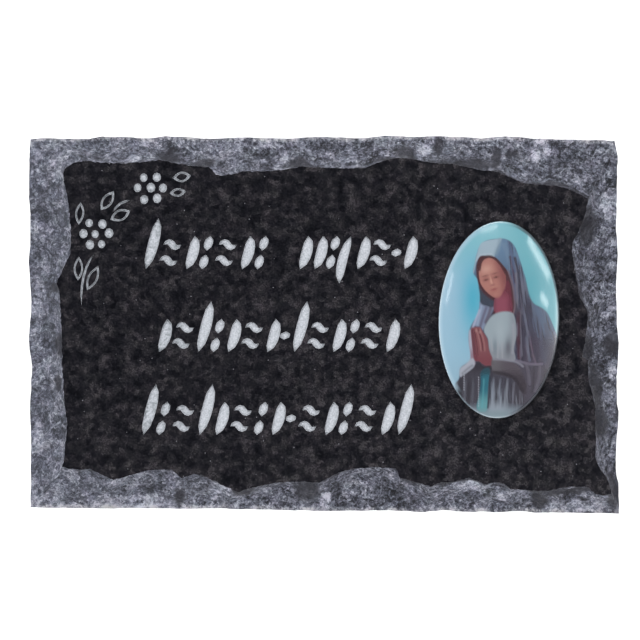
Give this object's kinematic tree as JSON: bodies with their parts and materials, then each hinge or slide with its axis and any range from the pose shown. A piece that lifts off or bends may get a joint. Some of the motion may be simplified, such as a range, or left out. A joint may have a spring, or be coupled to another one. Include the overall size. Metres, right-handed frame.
{
  "type": "grave plaque",
  "caption": "Rectangular granite plaque with a rough chipped border, a polished engraved face and a domed oval porcelain picture.",
  "frame": {"origin": "under the middle of the slab, on its sawn back", "axes": "+X to the right of the engraved face, +Y to its top, +Z out of it"},
  "size_m": [0.25, 0.16, 0.0251],
  "materials": {
    "dark_granite": "polished face, rough split border",
    "glazed_porcelain": "glossy glaze"
  },
  "bodies": {
    "root": {"granite_slab": "dark_granite", "porcelain_medallion": "glazed_porcelain"}
  },
  "joints": []
}
